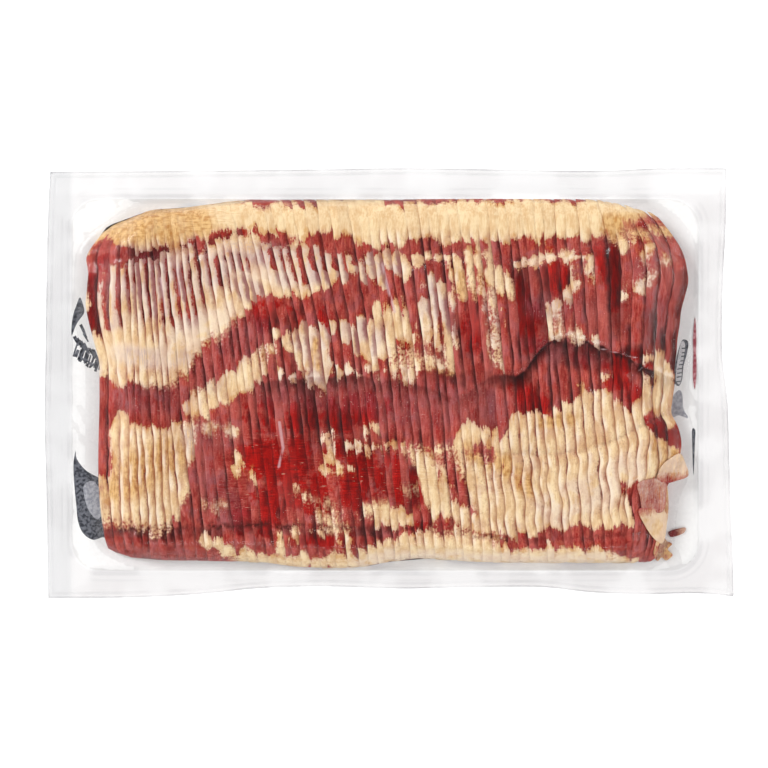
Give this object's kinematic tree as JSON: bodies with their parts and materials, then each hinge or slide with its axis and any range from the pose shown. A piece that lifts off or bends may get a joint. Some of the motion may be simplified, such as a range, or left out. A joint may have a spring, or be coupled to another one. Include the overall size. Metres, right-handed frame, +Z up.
{
  "type": "bacon pack",
  "caption": "Flat vacuum pack of shingled thick-cut bacon slices under clear film, with a wide sealed flange all round. Lies flat on its underside.",
  "frame": {"origin": "middle of the flat underside, in the middle of the film's outer edges", "axes": "+X along the pack's length, +Y along the slices towards the pack's back edge, +Z up from the flat underside through the bacon"},
  "size_m": [0.4627, 0.2888, 0.0276],
  "materials": {
    "packed_bacon": "glossy clear film over cured pork",
    "clear_film": "glossy, clear, slightly milky",
    "cured_pork": "moist lean and fat",
    "label_card": "coated white card"
  },
  "bodies": {
    "root": {"vacuum_pack": "packed_bacon"}
  },
  "joints": []
}
